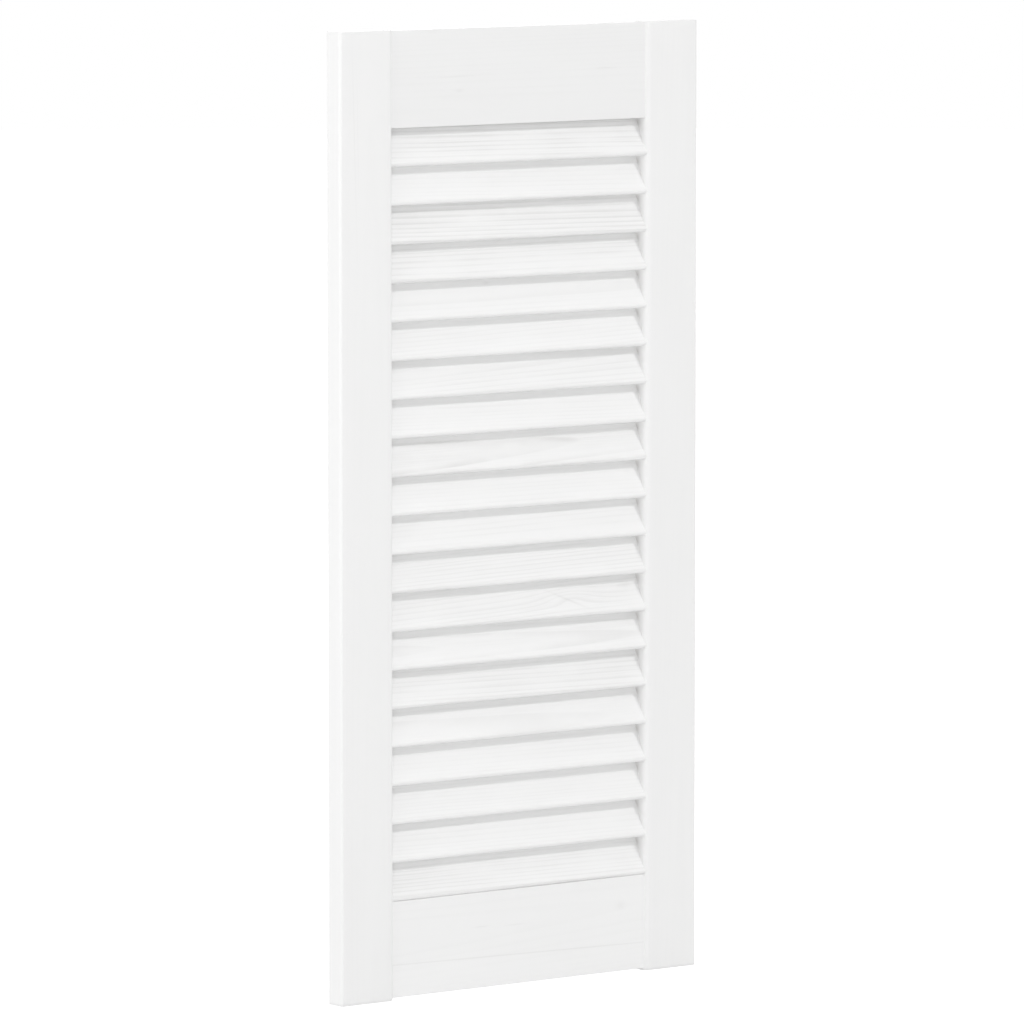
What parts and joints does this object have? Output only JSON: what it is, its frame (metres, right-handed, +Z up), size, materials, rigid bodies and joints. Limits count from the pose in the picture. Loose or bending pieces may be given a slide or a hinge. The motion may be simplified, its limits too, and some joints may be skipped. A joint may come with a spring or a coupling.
{
  "type": "louvred cabinet door",
  "caption": "White painted pine cabinet door leaf with a frame of stiles and rails filled by fixed leaning slats.",
  "frame": {"origin": "on the hinge edge of the left stile, at half its thickness and half its height", "axes": "+X from the hinge edge to the closing edge, +Y from front to back, so the front faces -Y, +Z up"},
  "size_m": [0.394, 0.021, 0.85],
  "materials": {
    "stile_paint": "white satin paint on pine",
    "rail_paint": "white satin paint on pine",
    "slat_paint": "white satin paint on pine"
  },
  "bodies": {
    "root": {"left_stile": "stile_paint", "right_stile": "stile_paint", "top_rail": "rail_paint", "bottom_rail": "rail_paint", "slat_01": "slat_paint", "slat_02": "slat_paint", "slat_03": "slat_paint", "slat_04": "slat_paint", "slat_05": "slat_paint", "slat_06": "slat_paint", "slat_07": "slat_paint", "slat_08": "slat_paint", "slat_09": "slat_paint", "slat_10": "slat_paint", "slat_11": "slat_paint", "slat_12": "slat_paint", "slat_13": "slat_paint", "slat_14": "slat_paint", "slat_15": "slat_paint", "slat_16": "slat_paint", "slat_17": "slat_paint", "slat_18": "slat_paint", "slat_19": "slat_paint", "slat_20": "slat_paint"}
  },
  "joints": []
}
